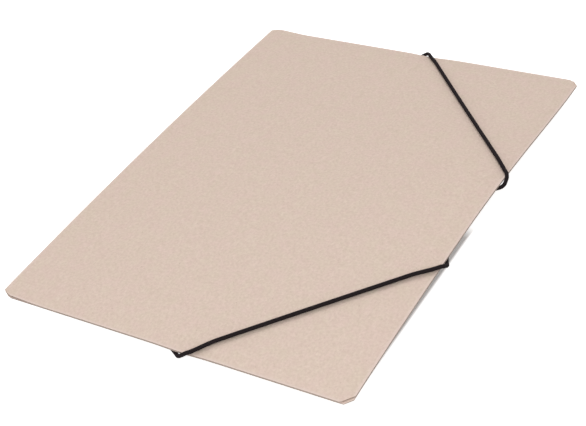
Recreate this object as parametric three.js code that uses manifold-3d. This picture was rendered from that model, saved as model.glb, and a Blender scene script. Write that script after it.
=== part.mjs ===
// An elastic folder, closed: one sheet of kraft board folded once at the spine, and two elastic cords
// that hold it shut, each drawn over one of its free corners.
// Millimetres. X runs from the spine to the fore edge, Y along the spine from the near short edge to
// the far one, and Z up. The ends of the spine and the cords' turns at the short edges touch Z = 0.
import * as THREE from 'three';
import { mergeVertices } from 'three/addons/utils/BufferGeometryUtils.js';
import Module from 'manifold-3d';

const wasm = await Module();
wasm.setup();

// The board and its fold
const coverWidth = 242; // spine to fore edge
const coverLength = 318; // along the spine
const boardThickness = 0.5;
const spineGap = 1.6; // clear height inside the fold
const foldReach = 30; // where the covers have lost the spring of the fold
const rimGap = 0.25; // clear height between the covers along their free edges
const bellyGap = 1.5; // and inside that rim, where the cord stops lie
const rimWidth = 12;

// How the closed folder is bowed: its long edges rise in the middle, the short ones stay straight
const spineBow = 3.1;
const foreBow = 8;

// Cut corners, as [along the short edge, along the long edge]
const frontCorner = [6, 6.5];
const backCorner = [4, 4.5];
const spineCorner = [6, 3.5];

// The elastic cords, and where their turns and holes are
const cordDiameter = 3;
const cordSides = 8;
const shortTurn = 109; // from the fore edge to the turn over a short edge
const foreTurn = 114; // from a short edge to the turn over the fore edge
const turnPitch = 1.4; // how far a turn runs along its edge for each millimetre round it
const turnDip = 0.7; // how far a taut turn presses a short edge down
const dipReach = 12;
const holeDiameter = 4;
const holeInset = 14; // from the board's edge to a hole
const holeShift = 29; // along the edge, from the middle of a turn to its hole
const holeBend = 2.1; // radius of the cord's bend into a hole

// The crimped stop on each end of a cord
const stopLength = 14;
const stopWidth = 3.2;
const stopThickness = 0.7;
const eyeWall = 1.1; // round the cord

const clearance = 0.3; // between pieces that touch

// Fineness of the surfaces
const coverSteps = 26;
const foldSteps = 8;
const lengthSteps = 34;
const holeSides = 16;
const runSteps = 20;
const underSteps = 4;
const bendSteps = 4;

// Worked out from the above
const cordRadius = cordDiameter / 2;
const cordSeat = cordRadius + clearance; // from the board's face to the middle of the cord
const cordReach = cordRadius + cordSeat; // how far a turn stands out past an edge
const spineX = -(coverWidth + cordReach) / 2;
const foreX = spineX + coverWidth;
const halfLength = coverLength / 2;
const foldRadius = spineGap / 2 + boardThickness;
const foldX = spineX + foldRadius;
const turnX = foreX - shortTurn;
const turnY = halfLength - foreTurn;
const rimStack = 2 * boardThickness + rimGap;
const turnLength = Math.PI * cordSeat + rimStack; // the middle of the cord, round an edge
const halfTurn = (turnPitch * turnLength) / 2;

// The folder lies on the ends of its spine and on the cords, where they leave the short edges
const spineEndCut = spineCorner[1] * (1 - foldRadius / spineCorner[0]);
const restDrop = spineBow * (1 - ((halfLength - spineEndCut) / halfLength) ** 2);
const dipAt = (distance) => turnDip * Math.exp(-((distance / dipReach) ** 2));
const restSlope = (cordReach + dipAt(halfTurn) + restDrop) / (turnX - halfTurn - foldX);

const kraftBoard = new THREE.MeshStandardMaterial({ color: 0xd8c4b6, roughness: 0.92, metalness: 0 });
const blackElastic = new THREE.MeshStandardMaterial({ color: 0x2b2526, roughness: 0.75, metalness: 0 });
const platedSteel = new THREE.MeshStandardMaterial({ color: 0xb9babd, roughness: 0.35, metalness: 1 });

const { lerp, smoothstep } = THREE.MathUtils;
const withinWidth = (x) => THREE.MathUtils.clamp(x, foldX, foreX);
const withinLength = (y) => THREE.MathUtils.clamp(y, -halfLength, halfLength);

// Height of the back cover's outer face. The bow is a parabola along the spine and towards the near
// end of the fore edge, and a flatter-ended bell towards its far end. Each turn over a short edge
// presses a shallow dip into it.
function underside(x, y) {
  const across = (withinWidth(x) - foldX) / (foreX - foldX);
  const along = withinLength(y) / halfLength;
  const parabola = 1 - along ** 2;
  const bell = Math.cos((Math.PI * along) / 2) ** 2;
  const bow = lerp(spineBow, foreBow, across) * lerp(parabola, bell, (across * (1 + along)) / 2);
  const fromTurn = Math.hypot(withinWidth(x) - turnX, halfLength - Math.abs(withinLength(y)));
  return restSlope * (withinWidth(x) - foldX) + bow - dipAt(fromTurn) - restDrop;
}

// Clear height between the covers: the fold's at the spine, the rim's along the free edges
function gapInside(x, y) {
  const inFromEnds = smoothstep(halfLength - Math.abs(withinLength(y)), 0, rimWidth);
  const inFromFore = smoothstep(foreX - withinWidth(x), 0, rimWidth);
  const relaxed = rimGap + (bellyGap - rimGap) * inFromEnds * inFromFore;
  return lerp(spineGap, relaxed, smoothstep(withinWidth(x) - foldX, 0, foldReach));
}

const middle = (x, y) => underside(x, y) + boardThickness + gapInside(x, y) / 2;
const topFace = (x, y) => underside(x, y) + 2 * boardThickness + gapInside(x, y);

function moveVertices(geometry, place) {
  const position = geometry.attributes.position;
  const point = new THREE.Vector3();
  for (let i = 0; i < position.count; i += 1) {
    point.fromBufferAttribute(position, i);
    place(point);
    position.setXYZ(i, point.x, point.y, point.z);
  }
  return geometry;
}

function toSolid(geometry) {
  geometry.deleteAttribute('normal');
  geometry.deleteAttribute('uv');
  const welded = mergeVertices(geometry, 1e-4);
  return new wasm.Manifold(new wasm.Mesh({
    numProp: 3,
    vertProperties: new Float32Array(welded.attributes.position.array),
    triVerts: new Uint32Array(welded.index.array),
  }));
}

function toGeometry(solid) {
  const mesh = solid.getMesh();
  const geometry = new THREE.BufferGeometry();
  geometry.setAttribute('position', new THREE.BufferAttribute(mesh.vertProperties, 3));
  geometry.setIndex(new THREE.BufferAttribute(mesh.triVerts, 1));
  geometry.computeVertexNormals();
  return geometry;
}

// Places along a cover, from the fold (0) to the fore edge (1), closer together towards the fore edge
const coverStation = (t) => lerp(t, Math.sin((Math.PI * t) / 2), 0.5);
// Places along the spine, from -1 to 1, closer together towards both ends
const lengthStation = (t) => lerp(t, Math.sin((Math.PI * t) / 2), 0.6);

// The sheet starts as a flat grid of unit cells, and each of its vertices is folded to its place: the
// back cover, half a turn round the fold, then the front cover. Depth 0 is the outer face.
function foldedSheet() {
  const steps = 2 * coverSteps + foldSteps;
  const flat = new THREE.BoxGeometry(steps, 1, 1, steps, lengthSteps, 1);
  return moveVertices(flat, (point) => {
    const step = point.x + steps / 2;
    const depth = (0.5 - point.z) * boardThickness;
    const y = halfLength * lengthStation(2 * point.y);
    const fromFold = Math.abs(step - steps / 2) - foldSteps / 2;
    if (fromFold >= 0) {
      const x = lerp(foldX, foreX, coverStation(fromFold / coverSteps));
      const isBack = step < steps / 2;
      point.set(x, y, isBack ? underside(x, y) + depth : topFace(x, y) - depth);
      return;
    }
    const angle = (Math.PI * (step - coverSteps)) / foldSteps;
    const radius = foldRadius - depth;
    const centre = underside(foldX, y) + foldRadius;
    point.set(foldX - radius * Math.sin(angle), y, centre - radius * Math.cos(angle));
  });
}

// A prism that cuts one corner off: its triangle lies in plan, and it reaches from one surface to
// another, given as functions of the place
function cornerCut(cornerX, cornerY, [alongShort, alongLong], low, high) {
  const inX = -Math.sign(cornerX);
  const inY = -Math.sign(cornerY);
  const spare = 2;
  const slope = alongLong / alongShort;
  const outX = cornerX - inX * spare;
  const outY = cornerY - inY * spare;
  const triangle = [
    new THREE.Vector2(outX, outY),
    new THREE.Vector2(cornerX + inX * (alongShort + spare / slope), outY),
    new THREE.Vector2(outX, cornerY + inY * (alongLong + spare * slope)),
  ];
  const prism = new THREE.ExtrudeGeometry(new THREE.Shape(triangle), { depth: 1, bevelEnabled: false });
  return moveVertices(prism, (point) => {
    point.z = point.z < 0.5 ? low(point.x, point.y) : high(point.x, point.y);
  });
}

// The two holes of one cord: [x, y, turn of its stop], at the short edge and at the fore edge
function cordHoles(side) {
  return [
    { x: turnX - holeShift, y: side * (halfLength - holeInset), stopTurn: 0 },
    { x: foreX - holeInset, y: side * (turnY - holeShift), stopTurn: Math.PI / 2 },
  ];
}

function foldedCard() {
  const far = 20;
  const below = (x, y) => middle(x, y) - far;
  const above = (x, y) => middle(x, y) + far;
  let card = toSolid(foldedSheet());
  for (const side of [-1, 1]) {
    const endY = side * halfLength;
    const cuts = [
      cornerCut(foreX, endY, frontCorner, middle, above),
      cornerCut(foreX, endY, backCorner, below, middle),
      cornerCut(spineX, endY, spineCorner, below, above),
    ];
    for (const { x, y } of cordHoles(side)) {
      const hole = new THREE.CylinderGeometry(holeDiameter / 2, holeDiameter / 2, far, holeSides);
      hole.rotateX(Math.PI / 2);
      hole.translate(x, y, middle(x, y) - far / 2);
      cuts.push(hole);
    }
    for (const cut of cuts) card = card.subtract(toSolid(cut));
  }
  return toGeometry(card);
}

// A cord follows a list of places one by one, so that its steps are short in the bends and long on
// the straight runs
class CordRoute extends THREE.Curve {
  constructor(places) {
    super();
    this.places = places;
  }

  getPoint(t, target = new THREE.Vector3()) {
    const last = this.places.length - 1;
    const step = Math.min(Math.floor(t * last), last - 1);
    return target.lerpVectors(this.places[step], this.places[step + 1], t * last - step);
  }

  getUtoTmapping(u) {
    return u;
  }
}

// Up through a hole: from the open end in the stop's eye, down, and round to run under the cover
function throughHole(hole, towards) {
  const way = new THREE.Vector2(towards.x - hole.x, towards.y - hole.y).normalize();
  const bottom = underside(hole.x, hole.y);
  const centreZ = bottom - cordSeat + holeBend;
  const endZ = bottom + boardThickness + clearance + stopThickness;
  const places = [new THREE.Vector3(hole.x, hole.y, endZ)];
  for (let i = 0; i <= bendSteps; i += 1) {
    const angle = (i / bendSteps) * (Math.PI / 2);
    const out = holeBend * (1 - Math.cos(angle));
    places.push(new THREE.Vector3(hole.x + way.x * out, hole.y + way.y * out, centreZ - holeBend * Math.sin(angle)));
  }
  return places;
}

// Round an edge, from under the back cover to over the front one. edgePlace gives the plan place that
// lies so far along the edge and so far out from it.
function roundEdge(edgePlace) {
  const places = [];
  const quarter = (Math.PI / 2) * cordSeat;
  for (let i = 0; i <= 2 * bendSteps + 1; i += 1) {
    const isUpper = i > bendSteps;
    const angle = ((isUpper ? i - bendSteps - 1 : i - bendSteps) / bendSteps) * (Math.PI / 2);
    const travelled = quarter + angle * cordSeat + (isUpper ? rimStack : 0);
    const { x, y } = edgePlace(turnPitch * travelled - halfTurn, cordSeat * Math.cos(angle));
    const corner = isUpper ? topFace(x, y) : underside(x, y);
    places.push(new THREE.Vector3(x, y, corner + cordSeat * Math.sin(angle)));
  }
  return places;
}

// Places between two others, each on one face of the folder
function straightRun(from, to, steps, station, heightAt) {
  const places = [];
  for (let i = 1; i < steps; i += 1) {
    const t = station(i / steps);
    const x = lerp(from.x, to.x, t);
    const y = lerp(from.y, to.y, t);
    places.push(new THREE.Vector3(x, y, heightAt(x, y)));
  }
  return places;
}

// One cord: hole, short edge, front cover, fore edge, hole
function cordRoute(side) {
  const [shortHole, foreHole] = cordHoles(side);
  const shortEdge = roundEdge((along, out) => ({ x: turnX + along, y: side * (halfLength + out) }));
  const foreEdge = roundEdge((along, out) => ({ x: foreX + out, y: side * (turnY + along) }));
  const underHeight = (x, y) => underside(x, y) - cordSeat;
  const overHeight = (x, y) => topFace(x, y) + cordSeat;
  const even = (t) => t;
  const closeAtEnds = (t) => (1 - Math.cos(Math.PI * t)) / 2;
  const fromHole = (hole, edge) => {
    const bend = throughHole(hole, edge[0]);
    return [...bend, ...straightRun(bend.at(-1), edge[0], underSteps, even, underHeight), ...edge];
  };
  const first = fromHole(shortHole, shortEdge);
  const last = fromHole(foreHole, foreEdge).reverse();
  return [...first, ...straightRun(first.at(-1), last[0], runSteps, closeAtEnds, overHeight), ...last];
}

function elasticCord(side) {
  const section = [];
  for (let i = 0; i < cordSides; i += 1) {
    const angle = (2 * Math.PI * i) / cordSides;
    section.push(new THREE.Vector2(cordRadius * Math.cos(angle), cordRadius * Math.sin(angle)));
  }
  const places = cordRoute(side);
  return new THREE.ExtrudeGeometry(new THREE.Shape(section), {
    steps: places.length - 1,
    extrudePath: new CordRoute(places),
    bevelEnabled: false,
  });
}

// A flat bar with round ends and an eye in its middle, which is crimped round the cord's end
function cordStop() {
  const endRadius = stopWidth / 2;
  const endX = stopLength / 2 - endRadius;
  const eyeHole = cordRadius + clearance;
  const eyeRadius = eyeHole + eyeWall;
  const eyeAngle = Math.asin(endRadius / eyeRadius);
  const outline = new THREE.Shape();
  outline.absarc(endX, 0, endRadius, -Math.PI / 2, Math.PI / 2);
  outline.absarc(0, 0, eyeRadius, eyeAngle, Math.PI - eyeAngle);
  outline.absarc(-endX, 0, endRadius, Math.PI / 2, (3 * Math.PI) / 2);
  outline.absarc(0, 0, eyeRadius, Math.PI + eyeAngle, 2 * Math.PI - eyeAngle);
  outline.closePath();
  outline.holes.push(new THREE.Path().absarc(0, 0, eyeHole, 0, 2 * Math.PI, true));
  return new THREE.ExtrudeGeometry(outline, { depth: stopThickness, bevelEnabled: false, curveSegments: 8 });
}

// Lays a stop on the back cover's inner face, with its eye over the hole
function layStop(mesh, hole) {
  const span = 1;
  const slopeX = underside(hole.x + span, hole.y) - underside(hole.x - span, hole.y);
  const slopeY = underside(hole.x, hole.y + span) - underside(hole.x, hole.y - span);
  const normal = new THREE.Vector3(-slopeX, -slopeY, 2 * span).normalize();
  const lean = new THREE.Quaternion().setFromUnitVectors(new THREE.Vector3(0, 0, 1), normal);
  mesh.rotation.z = hole.stopTurn;
  mesh.quaternion.premultiply(lean);
  mesh.position.set(hole.x, hole.y, underside(hole.x, hole.y) + boardThickness + clearance);
  return mesh;
}

function named(name, geometry, material) {
  const mesh = new THREE.Mesh(geometry, material);
  mesh.name = name;
  return mesh;
}

const folder = new THREE.Group();
folder.add(named('folded_card', foldedCard(), kraftBoard));
for (const [end, side] of [['near', -1], ['far', 1]]) {
  folder.add(named(`elastic_cord_${end}`, elasticCord(side), blackElastic));
  const [shortHole, foreHole] = cordHoles(side);
  folder.add(layStop(named(`cord_stop_${end}_short_edge`, cordStop(), platedSteel), shortHole));
  folder.add(layStop(named(`cord_stop_${end}_fore_edge`, cordStop(), platedSteel), foreHole));
}

export default folder;
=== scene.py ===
import math

import bmesh
import bpy
import numpy as np
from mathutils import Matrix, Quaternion, Vector


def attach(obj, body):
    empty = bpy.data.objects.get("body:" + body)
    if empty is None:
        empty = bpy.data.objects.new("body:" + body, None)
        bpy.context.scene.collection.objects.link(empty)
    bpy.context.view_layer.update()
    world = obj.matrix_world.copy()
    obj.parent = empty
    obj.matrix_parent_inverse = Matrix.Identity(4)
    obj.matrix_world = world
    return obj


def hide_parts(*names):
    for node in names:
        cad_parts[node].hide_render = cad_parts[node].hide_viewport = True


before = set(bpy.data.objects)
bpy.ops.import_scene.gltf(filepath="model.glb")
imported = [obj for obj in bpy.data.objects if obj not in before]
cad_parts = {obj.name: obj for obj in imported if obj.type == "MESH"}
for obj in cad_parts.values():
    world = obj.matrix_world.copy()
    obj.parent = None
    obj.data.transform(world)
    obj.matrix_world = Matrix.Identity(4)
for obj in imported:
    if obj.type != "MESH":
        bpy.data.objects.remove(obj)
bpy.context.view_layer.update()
print("frame loaded")

mm = 0.001  # every shape below is worked out in millimetres and scaled once, in makeObject

# The folded board, its bow and its cut corners [along the short edge, along the long edge]
board = {
    "width": 242.0,
    "length": 318.0,
    "thickness": 0.5,
    "spineGap": 1.6,
    "foldReach": 30.0,
    "rimGap": 0.25,
    "bellyGap": 1.5,
    "rimWidth": 12.0,
    "spineBow": 3.1,
    "foreBow": 8.0,
    "frontCorner": (6.0, 6.5),
    "backCorner": (4.0, 4.5),
    "spineCorner": (6.0, 3.5),
    "holeDiameter": 4.0,
    "coverSteps": 96,
    "foldSteps": 14,
    "lengthSteps": 140,
}

# The elastic cords: where they turn over the edges, and their braid
cord = {
    "diameter": 3.0,
    "clearance": 0.3,
    "shortTurn": 109.0,
    "foreTurn": 114.0,
    "turnPitch": 1.4,
    "turnDip": 0.7,
    "dipReach": 12.0,
    "holeInset": 14.0,
    "holeShift": 29.0,
    "holeBend": 2.1,
    "drawnDiameter": 2.5,  # near what the cords measure in the photograph
    "seenTurns": {-1: (107.0, 110.5), 1: (116.0, 124.0)},  # near and far cord: short edge, fore edge
    "step": 0.2,
    "sides": 40,
    "strandPairs": 4,
    "pickLength": 0.65,
    "relief": 0.13,
}

# The crimped stop on each cord end
stop = {
    "length": 14.0,
    "width": 3.2,
    "thickness": 0.7,
    "eyeWall": 1.1,
    "edgeRadius": 0.15,
    "turnSteps": 180,
}

# The photograph's view: the lens in pixels of its 586 pixel width, and the camera's roll
view = {
    "place": (0.39644, -0.55451, 0.51926),
    "aim": (0.01078, -0.03412, 0.00948),
    "rollDegrees": -9.34,
    "focalPixels": 1347.9,
    "widthPixels": 586,
    "sensorMillimetres": 36.0,
}

cordRadius = cord["diameter"] / 2
cordSeat = cordRadius + cord["clearance"]
cordReach = cordRadius + cordSeat
spineX = -(board["width"] + cordReach) / 2
foreX = spineX + board["width"]
halfLength = board["length"] / 2
foldRadius = board["spineGap"] / 2 + board["thickness"]
foldX = spineX + foldRadius
turnX = foreX - cord["shortTurn"]
turnY = halfLength - cord["foreTurn"]
rimStack = 2 * board["thickness"] + board["rimGap"]
turnLength = math.pi * cordSeat + rimStack
halfTurn = cord["turnPitch"] * turnLength / 2


def dipAt(distance):
    return cord["turnDip"] * np.exp(-(distance / cord["dipReach"]) ** 2)


spineEndCut = board["spineCorner"][1] * (1 - foldRadius / board["spineCorner"][0])
restDrop = board["spineBow"] * (1 - ((halfLength - spineEndCut) / halfLength) ** 2)
restSlope = (cordReach + dipAt(halfTurn) + restDrop) / (turnX - halfTurn - foldX)


def smoothstep(value, low, high):
    t = np.clip((value - low) / (high - low), 0.0, 1.0)
    return t * t * (3 - 2 * t)


def lerp(start, end, t):
    return start + (end - start) * t


# Height of the back cover's outer face: a slope up to the fore edge, plus a bow that is a parabola
# along the spine and turns into a bell at the far end of the fore edge, less a dip at each turn
def underside(x, y):
    x = np.clip(x, foldX, foreX)
    y = np.clip(y, -halfLength, halfLength)
    across = (x - foldX) / (foreX - foldX)
    along = y / halfLength
    parabola = 1 - along ** 2
    bell = np.cos(np.pi * along / 2) ** 2
    bow = lerp(board["spineBow"], board["foreBow"], across) * lerp(parabola, bell, across * (1 + along) / 2)
    fromTurn = np.hypot(x - turnX, halfLength - np.abs(y))
    return restSlope * (x - foldX) + bow - dipAt(fromTurn) - restDrop


# Clear height between the covers: the fold's at the spine, the rim's along the free edges
def gapInside(x, y):
    x = np.clip(x, foldX, foreX)
    y = np.clip(y, -halfLength, halfLength)
    fromEnds = smoothstep(halfLength - np.abs(y), 0, board["rimWidth"])
    fromFore = smoothstep(foreX - x, 0, board["rimWidth"])
    relaxed = board["rimGap"] + (board["bellyGap"] - board["rimGap"]) * fromEnds * fromFore
    return lerp(board["spineGap"], relaxed, smoothstep(x - foldX, 0, board["foldReach"]))


def topFace(x, y):
    return underside(x, y) + 2 * board["thickness"] + gapInside(x, y)


# Half the sheet's length at a place across it: less than full where a corner is cut off in a line
def endAt(x, foreCorner):
    spineCut = board["spineCorner"][1] * np.clip(1 - (x - spineX) / board["spineCorner"][0], 0, 1)
    foreCut = foreCorner[1] * np.clip(1 - (foreX - x) / foreCorner[0], 0, 1)
    return halfLength - spineCut - foreCut


def toLinear(hexColour):
    channels = [int(hexColour[i:i + 2], 16) / 255 for i in (1, 3, 5)]
    return [c / 12.92 if c <= 0.04045 else ((c + 0.055) / 1.055) ** 2.4 for c in channels] + [1.0]


# Quads of a grid of points, row after row; a closed direction joins its last line to its first
def gridFaces(rows, columns, closedRows=False, closedColumns=False):
    down = np.arange(rows if closedRows else rows - 1)[:, None]
    over = np.arange(columns if closedColumns else columns - 1)[None, :]
    nextDown = (down + 1) % rows
    nextOver = (over + 1) % columns
    corners = [
        down * columns + over,
        down * columns + nextOver,
        nextDown * columns + nextOver,
        nextDown * columns + over,
    ]
    return np.stack([np.broadcast_to(c, (down.size, over.size)) for c in corners], axis=-1).reshape(-1, 4)


# Six times the volume under the faces: negative when they point inwards
def signedVolume(points, faces):
    a, b, c, d = (points[faces[:, i]] for i in range(4))
    return np.sum(a * np.cross(b, c)) + np.sum(a * np.cross(c, d))


def makeObject(name, points, faces, materials, faceMaterials=None, sharpDegrees=40):
    if signedVolume(points, faces) < 0:
        faces = faces[:, ::-1]
    mesh = bpy.data.meshes.new(name)
    mesh.from_pydata((points * mm).tolist(), [], faces.tolist())
    for material in materials:
        mesh.materials.append(material)
    if faceMaterials is not None:
        mesh.polygons.foreach_set("material_index", faceMaterials.astype(np.int32))
    mesh.polygons.foreach_set("use_smooth", np.ones(len(mesh.polygons), dtype=bool))
    mesh.set_sharp_from_angle(angle=math.radians(sharpDegrees))
    mesh.update()
    piece = bpy.data.objects.new(name, mesh)
    bpy.context.scene.collection.objects.link(piece)
    return piece


def addNode(tree, kind, settings=None, inputs=None):
    node = tree.nodes.new(kind)
    for name, value in (settings or {}).items():
        setattr(node, name, value)
    for name, value in (inputs or {}).items():
        if isinstance(value, bpy.types.NodeSocket):
            tree.links.new(value, node.inputs[name])
        else:
            node.inputs[name].default_value = value
    return node


def newMaterial(name):
    material = bpy.data.materials.new(name)
    material.use_nodes = True
    material.node_tree.nodes.clear()
    return material, material.node_tree


def finishMaterial(tree, shader):
    addNode(tree, "ShaderNodeOutputMaterial", None, {"Surface": shader.outputs[0]})


def perMetre(millimetres):
    return 1000 / millimetres


# Mixes two colours by a factor between 0 and 1
def mixColours(tree, factor, first, second):
    node = addNode(tree, "ShaderNodeMix", {"data_type": "RGBA"}, {0: factor, 6: first, 7: second})
    return node.outputs[2]


kraft = {
    "board": "#DFCBBD",
    "pinkCloud": "#E1C9BF",
    "yellowCloud": "#DDCDBB",
    "fibre": "#ECDDD1",
    "fleck": "#B59C8A",
    "paleRim": "#E6D3CB",
    # The cut edge's two colours are darker than the board partly as the pulp's own grey-brown and partly as
    # painted shade
    "cut": "#9A8C82",
    "cutLayerAndShade": "#BAA99C",
    "cloudSize": 9.0,
    "grainSize": 1.6,
    "fibreLength": 5.0,
    "fibreWidth": 0.5,
    "fleckSpacing": 7.0,
    "paleRimWidth": 1.8,
}


# Uncoated recycled kraft board, calendered: matt, faintly clouded, with short fibres lying mostly
# along the sheet, a few flecks, and a paler line along the edges
def kraftBoard():
    material, tree = newMaterial("calendered kraft board")
    place = addNode(tree, "ShaderNodeTexCoord").outputs["Object"]
    clouds = addNode(tree, "ShaderNodeTexNoise", None, {
        "Vector": place, "Scale": perMetre(kraft["cloudSize"]), "Detail": 3.0, "Roughness": 0.6})
    warm = addNode(tree, "ShaderNodeMapRange", None, {
        "Value": clouds.outputs[0], "From Min": 0.36, "From Max": 0.64})
    base = mixColours(tree, warm.outputs[0], toLinear(kraft["yellowCloud"]), toLinear(kraft["pinkCloud"]))
    base = mixColours(tree, 0.45, base, toLinear(kraft["board"]))
    narrow = perMetre(kraft["fibreWidth"])
    for turn, seed in ((12.0, 3.0), (-24.0, 8.0)):
        laid = addNode(tree, "ShaderNodeMapping", None, {
            "Vector": place, "Rotation": (0.0, 0.0, math.radians(turn)), "Location": (seed, seed, 0.0),
            "Scale": (narrow, perMetre(kraft["fibreLength"]), narrow)})
        fibres = addNode(tree, "ShaderNodeTexNoise", None, {
            "Vector": laid.outputs[0], "Scale": 1.0, "Detail": 2.0, "Roughness": 0.5})
        shown = addNode(tree, "ShaderNodeMapRange", None, {
            "Value": fibres.outputs[0], "From Min": 0.56, "From Max": 0.78, "To Max": 0.35})
        base = mixColours(tree, shown.outputs[0], base, toLinear(kraft["fibre"]))
    grain = addNode(tree, "ShaderNodeTexNoise", None, {
        "Vector": place, "Scale": perMetre(kraft["grainSize"]), "Detail": 4.0, "Roughness": 0.65})
    shade = addNode(tree, "ShaderNodeMapRange", None, {
        "Value": grain.outputs[0], "From Min": 0.32, "From Max": 0.68, "To Min": 0.0, "To Max": 0.34})
    base = mixColours(tree, shade.outputs[0], base, toLinear(kraft["fleck"]))
    cells = addNode(tree, "ShaderNodeTexVoronoi", None, {
        "Vector": place, "Scale": perMetre(kraft["fleckSpacing"]), "Randomness": 1.0})
    fleck = addNode(tree, "ShaderNodeMapRange", None, {
        "Value": cells.outputs["Distance"], "From Min": 0.035, "From Max": 0.06,
        "To Min": 0.55, "To Max": 0.0})
    base = mixColours(tree, fleck.outputs[0], base, toLinear(kraft["fleck"]))

    # The colour turns paler along every edge, reaching a little further in at the spine
    parts = addNode(tree, "ShaderNodeSeparateXYZ", None, {"Vector": place})
    fromMiddle = addNode(tree, "ShaderNodeMath", {"operation": "ABSOLUTE"}, {0: parts.outputs["Y"]})
    paleWidth = kraft["paleRimWidth"]
    atEnds = addNode(tree, "ShaderNodeMapRange", None, {
        "Value": fromMiddle.outputs[0], "From Min": (halfLength - paleWidth) * mm, "From Max": halfLength * mm})
    atFore = addNode(tree, "ShaderNodeMapRange", None, {
        "Value": parts.outputs["X"], "From Min": (foreX - paleWidth) * mm, "From Max": foreX * mm})
    atSpine = addNode(tree, "ShaderNodeMapRange", None, {
        "Value": parts.outputs["X"], "From Min": (spineX + 1.4 * paleWidth) * mm, "From Max": spineX * mm})
    free = addNode(tree, "ShaderNodeMath", {"operation": "MAXIMUM"}, {
        0: atEnds.outputs[0], 1: atFore.outputs[0]})
    rim = addNode(tree, "ShaderNodeMath", {"operation": "MAXIMUM"}, {
        0: free.outputs[0], 1: atSpine.outputs[0]})
    paled = addNode(tree, "ShaderNodeMath", {"operation": "MULTIPLY"}, {0: rim.outputs[0], 1: 0.7})
    base = mixColours(tree, paled.outputs[0], base, toLinear(kraft["paleRim"]))

    bump = addNode(tree, "ShaderNodeBump", None, {
        "Strength": 0.35, "Distance": 0.06 * mm, "Height": grain.outputs[0]})
    shader = addNode(tree, "ShaderNodeBsdfPrincipled", None, {
        "Base Color": base, "Roughness": 0.88, "Specular IOR Level": 0.3, "Normal": bump.outputs[0]})
    finishMaterial(tree, shader)
    return material


# A guillotined edge of the board: grey-brown pulp pressed in layers, darker than its faces partly by its own
# colour and partly by painted shade
def cutEdgeAndShade():
    material, tree = newMaterial("cut edge of kraft board with painted shade")
    place = addNode(tree, "ShaderNodeTexCoord").outputs["Object"]
    layers = addNode(tree, "ShaderNodeMapping", None, {
        "Vector": place, "Scale": (perMetre(2.5), perMetre(2.5), perMetre(0.18))})
    pulp = addNode(tree, "ShaderNodeTexNoise", None, {
        "Vector": layers.outputs[0], "Scale": 1.0, "Detail": 3.0, "Roughness": 0.6})
    mixed = mixColours(tree, pulp.outputs[0], toLinear(kraft["cut"]), toLinear(kraft["cutLayerAndShade"]))
    bump = addNode(tree, "ShaderNodeBump", None, {
        "Strength": 0.6, "Distance": 0.08 * mm, "Height": pulp.outputs[0]})
    shader = addNode(tree, "ShaderNodeBsdfPrincipled", None, {
        "Base Color": mixed, "Roughness": 0.95, "Specular IOR Level": 0.2, "Normal": bump.outputs[0]})
    finishMaterial(tree, shader)
    return material


# Braided polyester over rubber: matt black yarn, browner on the crowns of the braid, with painted shade
# darkening it between them
def braidedElastic():
    material, tree = newMaterial("braided polyester elastic")
    place = addNode(tree, "ShaderNodeTexCoord").outputs["Object"]
    crown = addNode(tree, "ShaderNodeAttribute", {"attribute_name": "crown"}).outputs["Fac"]
    yarn = addNode(tree, "ShaderNodeTexNoise", None, {
        "Vector": place, "Scale": perMetre(0.35), "Detail": 2.0, "Roughness": 0.6})
    lit = mixColours(tree, yarn.outputs[0], toLinear("#231B1D"), toLinear("#322A2C"))
    # Towards the grooves between the braid's crowns the colour falls to near black: painted shade
    colour = mixColours(tree, crown, toLinear("#0E0B0C"), lit)
    bump = addNode(tree, "ShaderNodeBump", None, {
        "Strength": 0.5, "Distance": 0.05 * mm, "Height": yarn.outputs[0]})
    shader = addNode(tree, "ShaderNodeBsdfPrincipled", None, {
        "Base Color": colour, "Roughness": 0.9, "Specular IOR Level": 0.12, "Normal": bump.outputs[0]})
    finishMaterial(tree, shader)
    return material


# Stamped steel strip, bright nickel plated: fine rolling lines along the bar
def nickelSteel():
    material, tree = newMaterial("nickel plated steel strip")
    place = addNode(tree, "ShaderNodeTexCoord").outputs["Object"]
    rolled = addNode(tree, "ShaderNodeMapping", None, {
        "Vector": place, "Scale": (perMetre(0.15), perMetre(3.0), perMetre(0.15))})
    lines = addNode(tree, "ShaderNodeTexNoise", None, {
        "Vector": rolled.outputs[0], "Scale": 1.0, "Detail": 3.0, "Roughness": 0.6})
    rough = addNode(tree, "ShaderNodeMapRange", None, {
        "Value": lines.outputs[0], "From Min": 0.3, "From Max": 0.7, "To Min": 0.24, "To Max": 0.42})
    tint = mixColours(tree, lines.outputs[0], toLinear("#B4B2AE"), toLinear("#CBC9C5"))
    shader = addNode(tree, "ShaderNodeBsdfPrincipled", None, {
        "Base Color": tint, "Metallic": 1.0, "Roughness": rough.outputs[0]})
    finishMaterial(tree, shader)
    return material


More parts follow.
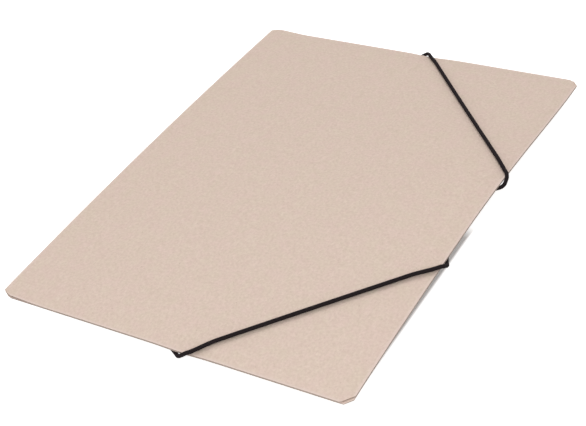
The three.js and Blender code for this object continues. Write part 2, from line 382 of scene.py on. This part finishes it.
# The sheet as rings, one for each row along the spine. A ring runs over the outer face from the back
# cover's fore edge round the fold to the front cover's, then back over the inner face.
def foldedSheet(materials):
    coverSteps, foldSteps = board["coverSteps"], board["foldSteps"]
    t = np.arange(coverSteps + 1) / coverSteps
    stations = lerp(foldX, foreX, lerp(t, np.sin(np.pi * t / 2), 0.5))
    rows = np.linspace(-1, 1, board["lengthSteps"] + 1)
    rows = lerp(rows, np.sin(np.pi * rows / 2), 0.6)[:, None]
    angles = np.pi * np.arange(1, foldSteps) / foldSteps

    def faceOfSheet(depth):
        x = stations[None, :]
        backY = rows * endAt(x, board["backCorner"])
        back = np.stack(np.broadcast_arrays(x, backY, underside(x, backY) + depth), axis=-1)
        frontY = rows * endAt(x, board["frontCorner"])
        front = np.stack(np.broadcast_arrays(x, frontY, topFace(x, frontY) - depth), axis=-1)
        radius = foldRadius - depth
        foldAcross = foldX - radius * np.sin(angles)[None, :]
        foldY = rows * endAt(foldAcross, board["backCorner"])
        foldUp = underside(foldX, foldY) + foldRadius - radius * np.cos(angles)[None, :]
        fold = np.stack(np.broadcast_arrays(foldAcross, foldY, foldUp), axis=-1)
        return np.concatenate([back[:, ::-1], fold, front], axis=1)

    outer = faceOfSheet(0.0)
    inner = faceOfSheet(board["thickness"])[:, ::-1]
    rings = np.concatenate([outer, inner], axis=1)
    rowCount, ringCount = rings.shape[:2]
    points = rings.reshape(-1, 3)
    walls = gridFaces(rowCount, ringCount, closedColumns=True)
    wallMaterials = (np.arange(len(walls)) % ringCount % (ringCount // 2) == ringCount // 2 - 1).astype(int)
    i = np.arange(ringCount // 2 - 1)
    nearEnd = np.stack([i, ringCount - 1 - i, ringCount - 2 - i, i + 1], axis=-1)
    farEnd = nearEnd[:, ::-1] + (rowCount - 1) * ringCount
    ends = np.concatenate([nearEnd, farEnd])
    faces = np.concatenate([walls, ends])
    kinds = np.concatenate([wallMaterials, np.ones(len(ends), dtype=int)])
    return makeObject("kraft_cover", points, faces, materials, kinds)


# Upright cylinders through the back cover only: each is a ring of points at two heights, and its
# ends are closed by quads that fold onto one middle point
def holeCutters(materials, holes):
    sides = 48
    around = 2 * np.pi * np.arange(sides) / sides
    allPoints, allFaces = [], []
    for x, y in holes:
        low = underside(x, y) - 3.0
        high = underside(x, y) + board["thickness"] + gapInside(x, y) / 2
        radii = np.array([0.0, 1.0, 1.0, 0.0])[:, None] * board["holeDiameter"] / 2
        heights = np.array([low, low, high, high])[:, None]
        px = x + radii * np.cos(around)
        py = y + radii * np.sin(around)
        points = np.stack(np.broadcast_arrays(px, py, heights), axis=-1).reshape(-1, 3)
        allFaces.append(gridFaces(4, sides, closedColumns=True) + len(allPoints) * len(points))
        allPoints.append(points)
    points, faces = np.concatenate(allPoints), np.concatenate(allFaces)
    cutter = makeObject("hole_cutter", points, faces, materials, np.ones(len(faces), dtype=int))
    weldPoles(cutter)
    return cutter


# Merges the points that share one place, at the poles of a turned shape
def weldPoles(piece):
    work = bmesh.new()
    work.from_mesh(piece.data)
    bmesh.ops.remove_doubles(work, verts=work.verts, dist=0.001 * mm)
    bmesh.ops.recalc_face_normals(work, faces=work.faces)
    work.to_mesh(piece.data)
    work.free()


def subtract(piece, cutter):
    modifier = piece.modifiers.new("holes", "BOOLEAN")
    modifier.operation = "DIFFERENCE"
    modifier.solver = "EXACT"
    modifier.object = cutter
    evaluated = piece.evaluated_get(bpy.context.evaluated_depsgraph_get())
    mesh = bpy.data.meshes.new_from_object(evaluated)
    piece.modifiers.clear()
    uncut = piece.data
    piece.data = mesh
    bpy.data.meshes.remove(uncut)
    bpy.data.objects.remove(cutter)
    mesh.set_sharp_from_angle(angle=math.radians(40))


# A cord's holes at its short edge and at the fore edge: x, y, and the turn of the stop laid there
def cordHoles(side):
    return [
        (turnX - cord["holeShift"], side * (halfLength - cord["holeInset"]), 0.0),
        (foreX - cord["holeInset"], side * (turnY - cord["holeShift"]), math.pi / 2),
    ]


# Round an edge from below to above: a quarter circle about the lower corner of the closed rim, a short
# straight rise, and a quarter circle about the upper corner, while the cord travels along the edge
def roundEdge(placeAt):
    angle = np.concatenate([np.linspace(-np.pi / 2, 0, 24), np.linspace(0, np.pi / 2, 24)])
    isUpper = np.arange(48) >= 24
    travelled = (np.pi / 2 + angle) * cordSeat + rimStack * isUpper
    x, y = placeAt(cord["turnPitch"] * travelled - halfTurn, cordSeat * np.cos(angle))
    corner = np.where(isUpper, topFace(x, y), underside(x, y))
    return np.stack([x, y, corner + cordSeat * np.sin(angle)], axis=-1)


# Down out of a hole and round into the run under the cover: a quarter circle towards the edge
def outOfHole(hole, towards):
    away = np.array([towards[0] - hole[0], towards[1] - hole[1]])
    away /= np.hypot(*away)
    bottom = underside(hole[0], hole[1])
    angle = np.linspace(0, np.pi / 2, 24)
    out = cord["holeBend"] * (1 - np.cos(angle))
    z = bottom - cordSeat + cord["holeBend"] * (1 - np.sin(angle))
    bend = np.stack([hole[0] + away[0] * out, hole[1] + away[1] * out, z], axis=-1)
    top = bottom + board["thickness"] + cord["clearance"] + stop["thickness"]
    return np.concatenate([[[hole[0], hole[1], top]], bend])


def straightRun(start, end, count, heightAt):
    t = np.linspace(0, 1, count + 1)[1:-1]
    x = lerp(start[0], end[0], t)
    y = lerp(start[1], end[1], t)
    return np.stack([x, y, heightAt(x, y)], axis=-1)


def cordPath(side):
    shortHole, foreHole = cordHoles(side)
    seenShort, seenFore = cord["seenTurns"][side]
    shortEdge = roundEdge(lambda along, out: (foreX - seenShort + along, side * (halfLength + out)))
    foreEdge = roundEdge(lambda along, out: (foreX + out, side * (halfLength - seenFore + along)))

    def fromHole(hole, edge):
        bend = outOfHole(hole, edge[0])
        under = straightRun(bend[-1], edge[0], 40, lambda x, y: underside(x, y) - cordSeat)
        return np.concatenate([bend, under, edge])

    first = fromHole(shortHole, shortEdge)
    last = fromHole(foreHole, foreEdge)[::-1]
    over = straightRun(first[-1], last[0], 400, lambda x, y: topFace(x, y) + cordSeat)
    return np.concatenate([first, over, last])


# The same path in even steps, with its corners eased by averaging neighbours
def evenPath(path, step):
    lengths = np.concatenate([[0], np.cumsum(np.linalg.norm(np.diff(path, axis=0), axis=1))])
    marks = np.linspace(0, lengths[-1], int(round(lengths[-1] / step)) + 1)
    even = np.stack([np.interp(marks, lengths, path[:, k]) for k in range(3)], axis=-1)
    for _ in range(3):
        even[1:-1] = (even[:-2] + even[1:-1] + even[2:]) / 3
    return even, lengths[-1]


# Two directions across the path at each step, carried along it without twist
def carriedFrame(path):
    tangents = np.gradient(path, axis=0)
    tangents /= np.linalg.norm(tangents, axis=1)[:, None]
    across = np.empty_like(path)
    start = np.cross(tangents[0], (1.0, 0.0, 0.0))
    across[0] = start / np.linalg.norm(start)
    for k in range(1, len(path)):
        carried = across[k - 1] - tangents[k] * np.dot(across[k - 1], tangents[k])
        across[k] = carried / np.linalg.norm(carried)
    return across, np.cross(tangents, across)


# A tube whose radius is the cord's less the relief of its braid. The crown of the braid at an angle
# round the tube and a length along it is the root of the product of two crossing cosines.
def braidedCord(name, side, material):
    path, length = evenPath(cordPath(side), cord["step"])
    across, up = carriedFrame(path)
    along = (np.arange(len(path)) * length / (len(path) - 1))[:, None]
    around = (2 * np.pi * np.arange(cord["sides"]) / cord["sides"])[None, :]
    wind = np.pi * along / cord["pickLength"]
    pairs = cord["strandPairs"]
    crown = np.sqrt(np.abs(np.cos(pairs * around + wind / 2) * np.cos(pairs * around - wind / 2)))
    radius = cord["drawnDiameter"] / 2 - cord["relief"] * (1 - crown)
    ring = path[:, None] + radius[..., None] * (
        np.cos(around)[..., None] * across[:, None] + np.sin(around)[..., None] * up[:, None])
    sides = cord["sides"]
    capStart = np.broadcast_to(path[0], (1, sides, 3))
    capEnd = np.broadcast_to(path[-1], (1, sides, 3))
    points = np.concatenate([capStart, ring, capEnd]).reshape(-1, 3)
    faces = gridFaces(len(path) + 2, sides, closedColumns=True)
    crowns = np.concatenate([np.zeros((1, sides)), crown, np.zeros((1, sides))]).ravel()
    piece = makeObject(name, points, faces, [material], sharpDegrees=70)
    attribute = piece.data.attributes.new("crown", "FLOAT", "POINT")
    attribute.data.foreach_set("value", crowns.astype(np.float32))
    weldPoles(piece)
    print(name, "is", round(length, 1), "mm long")
    return piece


# A bar with round ends and an eye, as one ring about the eye: at each angle it reaches from the eye's
# hole out to the further of the eye's rim and the bar's outline, and its section has round corners
def cordStop(name, hole, material):
    x, y, turn = hole
    half = stop["width"] / 2
    eyeHole = cordRadius + cord["clearance"]
    eyeRim = eyeHole + stop["eyeWall"]
    endX = stop["length"] / 2 - half
    t = np.arange(stop["turnSteps"]) / stop["turnSteps"] * 2 * np.pi
    angle = t - 0.42 * np.sin(2 * t)
    c, s = np.abs(np.cos(angle)), np.abs(np.sin(angle))
    toSide = half / np.maximum(s, 1e-6)
    toEnd = endX * c + np.sqrt(np.maximum(half ** 2 - (endX * s) ** 2, 0))
    bar = np.where(toSide * c <= endX, toSide, toEnd)
    reach = np.maximum(bar, eyeRim)[:, None]
    r = stop["edgeRadius"]
    h = stop["thickness"]
    quarter = np.linspace(0, np.pi / 2, 4)
    outSection = np.concatenate([r * np.sin(quarter) - r, r * np.cos(quarter) - r])
    outHeight = np.concatenate([r - r * np.cos(quarter), h - r + r * np.sin(quarter)])
    inSection = -outSection[::-1]
    inHeight = outHeight[::-1]
    inside = np.broadcast_to(eyeHole + inSection, (len(t), len(inSection)))
    radius = np.concatenate([reach + outSection[None, :], inside], axis=1)
    height = np.broadcast_to(np.concatenate([outHeight, inHeight]), radius.shape)
    flat = np.stack([radius * np.cos(angle)[:, None], radius * np.sin(angle)[:, None], height], axis=-1)
    span = 1.0
    slopeX = underside(x + span, y) - underside(x - span, y)
    slopeY = underside(x, y + span) - underside(x, y - span)
    normal = Vector((-slopeX, -slopeY, 2 * span)).normalized()
    lean = Vector((0, 0, 1)).rotation_difference(normal) @ Quaternion((0, 0, 1), turn)
    turned = flat.reshape(-1, 3) @ np.array(lean.to_matrix()).T
    seat = np.array([x, y, underside(x, y) + board["thickness"] + cord["clearance"]])
    faces = gridFaces(len(t), radius.shape[1], closedRows=True, closedColumns=True)
    return makeObject(name, turned + seat, faces, [material], sharpDegrees=50)


def addPiece(piece, node):
    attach(piece, "root")
    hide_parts(node)


kraftFace = kraftBoard()
kraftCutAndShade = cutEdgeAndShade()
elastic = braidedElastic()
nickel = nickelSteel()

cover = foldedSheet([kraftFace, kraftCutAndShade])
holePlaces = [hole[:2] for side in (-1, 1) for hole in cordHoles(side)]
subtract(cover, holeCutters([kraftFace, kraftCutAndShade], holePlaces))
addPiece(cover, "folded_card")
print("cover made, faces:", len(cover.data.polygons))

for end, side in (("near", -1), ("far", 1)):
    addPiece(braidedCord(f"braided_cord_{end}", side, elastic), f"elastic_cord_{end}")
    for edge, hole in zip(("short_edge", "fore_edge"), cordHoles(side)):
        piece = cordStop(f"crimped_stop_{end}_{edge}", hole, nickel)
        addPiece(piece, f"cord_stop_{end}_{edge}")
print("cords and stops made")

# Light: a large soft lamp over the far end of the spine, so that shadows fall towards the camera, a
# weak one over the near side, and an even pale sky
light = {
    "sky": 0.55,
    "keyPlace": (-1.1, 1.5, 2.6),
    "keySize": 1.6,
    "keyWatts": 30.0,
    "fillPlace": (0.35, -0.75, 0.75),
    "fillSize": 0.7,
    "fillWatts": 4.0,
    "glowUnder": 0.12,
    "glowAround": 0.76,
    "shadowForeEnd": (0.1132, 0.1146),
    "shadowSpineEnd": (-0.100, -0.112),
    "shadowFarEnd": (-0.006, 0.004),
    "shadowNearEnd": (-0.148, -0.150),
    "shadowSides": {"shadowForeEnd": "X", "shadowSpineEnd": "X", "shadowFarEnd": "Y", "shadowNearEnd": "Y"},
    "floor": "#E8E8E8",
    "floorReach": 3000.0,
    "floorDrop": 0.05,
}


def softLamp(name, place, size, watts):
    lamp = bpy.data.lights.new(name, "AREA")
    lamp.shape = "SQUARE"
    lamp.size = size
    lamp.energy = watts
    holder = bpy.data.objects.new(name, lamp)
    holder.location = place
    holder.rotation_mode = "QUATERNION"
    holder.rotation_quaternion = (-Vector(place)).to_track_quat("-Z", "Y")
    bpy.context.scene.collection.objects.link(holder)


softLamp("key", light["keyPlace"], light["keySize"], light["keyWatts"])
softLamp("fill", light["fillPlace"], light["fillSize"], light["fillWatts"])

world = bpy.data.worlds.new("even sky")
world.use_nodes = True
world.node_tree.nodes.clear()
rays = addNode(world.node_tree, "ShaderNodeLightPath")
seen = addNode(world.node_tree, "ShaderNodeMath", {"operation": "MAXIMUM"}, {
    0: rays.outputs["Is Camera Ray"], 1: rays.outputs["Is Glossy Ray"]})
strength = addNode(world.node_tree, "ShaderNodeMapRange", None, {
    "Value": seen.outputs[0], "To Min": light["sky"], "To Max": 1.0})
sky = addNode(world.node_tree, "ShaderNodeBackground", None, {
    "Color": (1.0, 1.0, 1.0, 1.0), "Strength": strength.outputs[0]})
addNode(world.node_tree, "ShaderNodeOutputWorld", None, {"Surface": sky.outputs[0]})
bpy.context.scene.world = world


# White floor: a pale matt surface that takes the folder's shadow. It glows towards the camera, strongly
# around the folder, where the photograph's ground is all but white up to its edges, and weakly under
# the near half of the raised fore edge, where the photograph keeps a dark band
def whiteFloor():
    material, tree = newMaterial("white floor")
    place = addNode(tree, "ShaderNodeTexCoord").outputs["Object"]
    parts = addNode(tree, "ShaderNodeSeparateXYZ", None, {"Vector": place})
    around = None
    for side, axis in light["shadowSides"].items():
        start, end = light[side]
        past = addNode(tree, "ShaderNodeMapRange", None, {
            "Value": parts.outputs[axis], "From Min": start, "From Max": end}).outputs[0]
        if around is not None:
            past = addNode(tree, "ShaderNodeMath", {"operation": "MAXIMUM"}, {0: around, 1: past}).outputs[0]
        around = past
    strength = addNode(tree, "ShaderNodeMapRange", None, {
        "Value": around, "To Min": light["glowUnder"], "To Max": light["glowAround"]})
    rays = addNode(tree, "ShaderNodeLightPath")
    seen = addNode(tree, "ShaderNodeMath", {"operation": "MAXIMUM"}, {
        0: rays.outputs["Is Camera Ray"], 1: rays.outputs["Is Glossy Ray"]})
    glow = addNode(tree, "ShaderNodeMath", {"operation": "MULTIPLY"}, {
        0: seen.outputs[0], 1: strength.outputs[0]})
    matt = addNode(tree, "ShaderNodeBsdfDiffuse", None, {"Color": toLinear(light["floor"])})
    glowing = addNode(tree, "ShaderNodeEmission", None, {
        "Color": (1.0, 1.0, 1.0, 1.0), "Strength": glow.outputs[0]})
    both = addNode(tree, "ShaderNodeAddShader", None, {0: matt.outputs[0], 1: glowing.outputs[0]})
    finishMaterial(tree, both)
    square = np.array([[-1, -1], [1, -1], [1, 1], [-1, 1]]) * light["floorReach"]
    points = np.column_stack([square, np.full(4, -light["floorDrop"])])
    floor = makeObject("floor", points, np.array([[0, 1, 2, 3]]), [material])


whiteFloor()

lens = bpy.data.cameras.new("camera")
lens.sensor_width = view["sensorMillimetres"]
lens.sensor_fit = "HORIZONTAL"
lens.lens = view["focalPixels"] / view["widthPixels"] * view["sensorMillimetres"]
lens.clip_start = 0.01
camera = bpy.data.objects.new("camera", lens)
camera.location = view["place"]
camera.rotation_mode = "QUATERNION"
aimed = (Vector(view["aim"]) - Vector(view["place"])).to_track_quat("-Z", "Y")
camera.rotation_quaternion = aimed @ Quaternion((0, 0, 1), math.radians(view["rollDegrees"]))
bpy.context.scene.collection.objects.link(camera)
bpy.context.scene.camera = camera
bpy.context.scene.view_settings.view_transform = "Standard"
print("light, floor and camera set")
